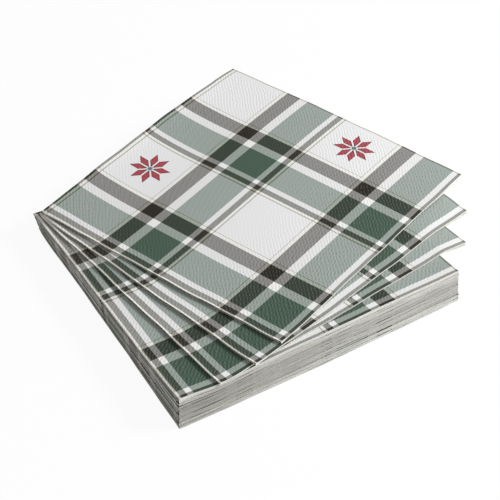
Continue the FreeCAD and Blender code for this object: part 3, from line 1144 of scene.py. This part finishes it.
# %% Bare tissue
STREAK_FLATNESS = 22
DRIFTS = 42
BAND_WANDER = 1.6 * MM
STREAK_STRENGTH = 0.55
STREAKS_FROM, STREAKS_FULL = 0.5, 0.8
PACKED_UP_TO, LOOSE_FROM = 15 * MM, 20 * MM
LEFT_SHADE_FROM, LEFT_SHADE_FULL = 30 * MM, -90 * MM
LEFT_SHADE_GAMMA = 1.5
BARE_RELIEF = 0.06


def make_bare_tissue():
    """Unprinted tissue for linings and cut edges, with painted light and shade on the packed edges."""
    material = bpy.data.materials.new("bare_tissue")
    material.use_nodes = True
    tree = material.node_tree
    coordinates = tree.nodes.new("ShaderNodeTexCoord")
    parts = tree.nodes.new("ShaderNodeSeparateXYZ")
    tree.links.new(coordinates.outputs["Object"], parts.inputs[0])
    stretched = tree.nodes.new("ShaderNodeCombineXYZ")
    for axis, stretch in enumerate((1, 1, STREAK_FLATNESS)):
        put(tree, stretched.inputs[axis], compute(tree, "MULTIPLY", parts.outputs[axis], stretch))
    drift = tree.nodes.new("ShaderNodeTexNoise")
    drift.inputs["Scale"].default_value = DRIFTS
    drift.inputs["Detail"].default_value = 5
    tree.links.new(stretched.outputs[0], drift.inputs["Vector"])
    wandering = compute(tree, "MULTIPLY_ADD", drift.outputs[0], BAND_WANDER, parts.outputs[2])
    height_lit_colour = bare_colour_lit_by_height(tree, wandering)
    packed = rise(tree, parts.outputs[2], LOOSE_FROM, PACKED_UP_TO)
    streaks = rise(tree, drift.outputs[0], STREAKS_FROM, STREAKS_FULL)
    streaks = compute(tree, "MULTIPLY", streaks, STREAK_STRENGTH)
    streaks = compute(tree, "MULTIPLY", streaks, packed)
    # painted shade, deepening towards the left end of the block
    left_shade = rise(tree, parts.outputs[0], LEFT_SHADE_FROM, LEFT_SHADE_FULL)
    left_shade = compute(tree, "MULTIPLY", left_shade, packed)
    darker = gamma(tree, height_lit_colour, LEFT_SHADE_GAMMA)
    left_shaded = mix_colours(tree, left_shade, height_lit_colour, darker)
    colour = mix_colours(tree, streaks, left_shaded, BARE_STREAK)
    tissue_surface(material, colour, drift.outputs[0], BARE_RELIEF)
    return material


# %% Give every napkin its two materials
bare_tissue = make_bare_tissue()
for napkin in napkins:
    napkin.data.materials.append(printed_tissue)
    napkin.data.materials.append(bare_tissue)
print("materials:", [material.name for material in napkins[0].data.materials])

# %% [markdown]
# ## The table
#
# The stack stands on a plain white table. What the camera sees of it is mostly plain white, mixed
# with a little of the real surface and its shadow, so the ground goes white while a soft contact
# shadow stays. Light that bounces off the table onto the stack comes from a slightly greyer one.

# %% Floor
FLOOR_SIZE = 4.0
FLOOR_COLOUR = (0.96, 0.96, 0.96, 1)
FLOOR_BOUNCE = (0.88, 0.88, 0.88, 1)
SEEN_WHITE = 0.93
FLOOR_ROUGHNESS, FLOOR_SPECULAR = 0.9, 0.1


def seen_by_camera(tree):
    """1 for what the camera sees directly, in gloss or through glass, else 0."""
    path = tree.nodes.new("ShaderNodeLightPath")
    seen = compute(tree, "MAXIMUM", path.outputs["Is Camera Ray"], path.outputs["Is Glossy Ray"])
    return compute(tree, "MAXIMUM", seen, path.outputs["Is Transmission Ray"])


def make_floor():
    """A large plane with a shader that the camera sees as nearly white."""
    bpy.ops.mesh.primitive_plane_add(size=FLOOR_SIZE)
    floor = bpy.context.object
    floor.name = "table_top"
    material = bpy.data.materials.new("white_table")
    material.use_nodes = True
    tree = material.node_tree
    shader = tree.nodes["Principled BSDF"]
    seen = seen_by_camera(tree)
    put(tree, shader.inputs["Base Color"], mix_colours(tree, seen, FLOOR_BOUNCE, FLOOR_COLOUR))
    shader.inputs["Roughness"].default_value = FLOOR_ROUGHNESS
    shader.inputs["Specular IOR Level"].default_value = FLOOR_SPECULAR
    glow = tree.nodes.new("ShaderNodeEmission")
    mix = tree.nodes.new("ShaderNodeMixShader")
    put(tree, mix.inputs[0], compute(tree, "MULTIPLY", seen, SEEN_WHITE))
    tree.links.new(shader.outputs[0], mix.inputs[1])
    tree.links.new(glow.outputs[0], mix.inputs[2])
    tree.links.new(mix.outputs[0], tree.nodes["Material Output"].inputs["Surface"])
    floor.data.materials.append(material)
    return floor


print("table:", make_floor().name, "of", FLOOR_SIZE, "m")

# %% [markdown]
# ## Light
#
# The light is a bright room: a white dome for the fill, and one soft lamp at the front right. It
# shines across the ridges of the emboss, so that they show and the left side falls into shade. The
# camera sees the dome as white, whatever its strength on the stack.

# %% Dome
DOME_STRENGTH = 0.4


def make_dome():
    """World light; the camera sees it as white."""
    world = bpy.data.worlds.new("room")
    scene.world = world
    world.use_nodes = True
    tree = world.node_tree
    background = tree.nodes["Background"]
    background.inputs["Color"].default_value = (1, 1, 1, 1)
    seen = seen_by_camera(tree)
    strength = compute(tree, "MULTIPLY_ADD", seen, 1 - DOME_STRENGTH, DOME_STRENGTH)
    tree.links.new(strength, background.inputs["Strength"])
    return world


print("world:", make_dome().name)

# %% Lamp
KEY_PLACE = Vector((0.85, -0.5, 0.8))
KEY_SIZE = 0.35
KEY_POWER = 14.0


def make_lamp(name, place, size, power):
    """A square area lamp that points at the stack."""
    lamp = bpy.data.lights.new(name, "AREA")
    lamp.size = size
    lamp.energy = power
    lamp_object = bpy.data.objects.new(name, lamp)
    lamp_object.location = place
    lamp_object.rotation_mode = "QUATERNION"
    lamp_object.rotation_quaternion = (-place).to_track_quat("-Z", "Y")
    scene.collection.objects.link(lamp_object)


make_lamp("key", KEY_PLACE, KEY_SIZE, KEY_POWER)
print(f"key lamp {KEY_PLACE.length:.2f} m away, {KEY_POWER:.0f} W")

# %% [markdown]
# ## Camera
#
# The camera looks down on the front left corner with a long lens. Its place, its aim and a slight
# roll come from matching the corners of the stack.

# %% Camera
CAMERA_PLACE = Vector((-248.6, -425.2, 448.6)) * MM
CAMERA_AIM = Vector((5.5, -1.1, 10.0)) * MM
CAMERA_ROLL = math.radians(-0.67)
CAMERA_LENS = 88.54

camera_data = bpy.data.cameras.new("camera")
camera_data.lens = CAMERA_LENS
camera = bpy.data.objects.new("camera", camera_data)
camera.location = CAMERA_PLACE
camera.rotation_mode = "QUATERNION"
towards = (CAMERA_AIM - CAMERA_PLACE).to_track_quat("-Z", "Y")
camera.rotation_quaternion = towards @ Matrix.Rotation(CAMERA_ROLL, 3, "Z").to_quaternion()
scene.collection.objects.link(camera)
scene.camera = camera
print("camera", round((CAMERA_AIM - CAMERA_PLACE).length, 3), "m from its aim")
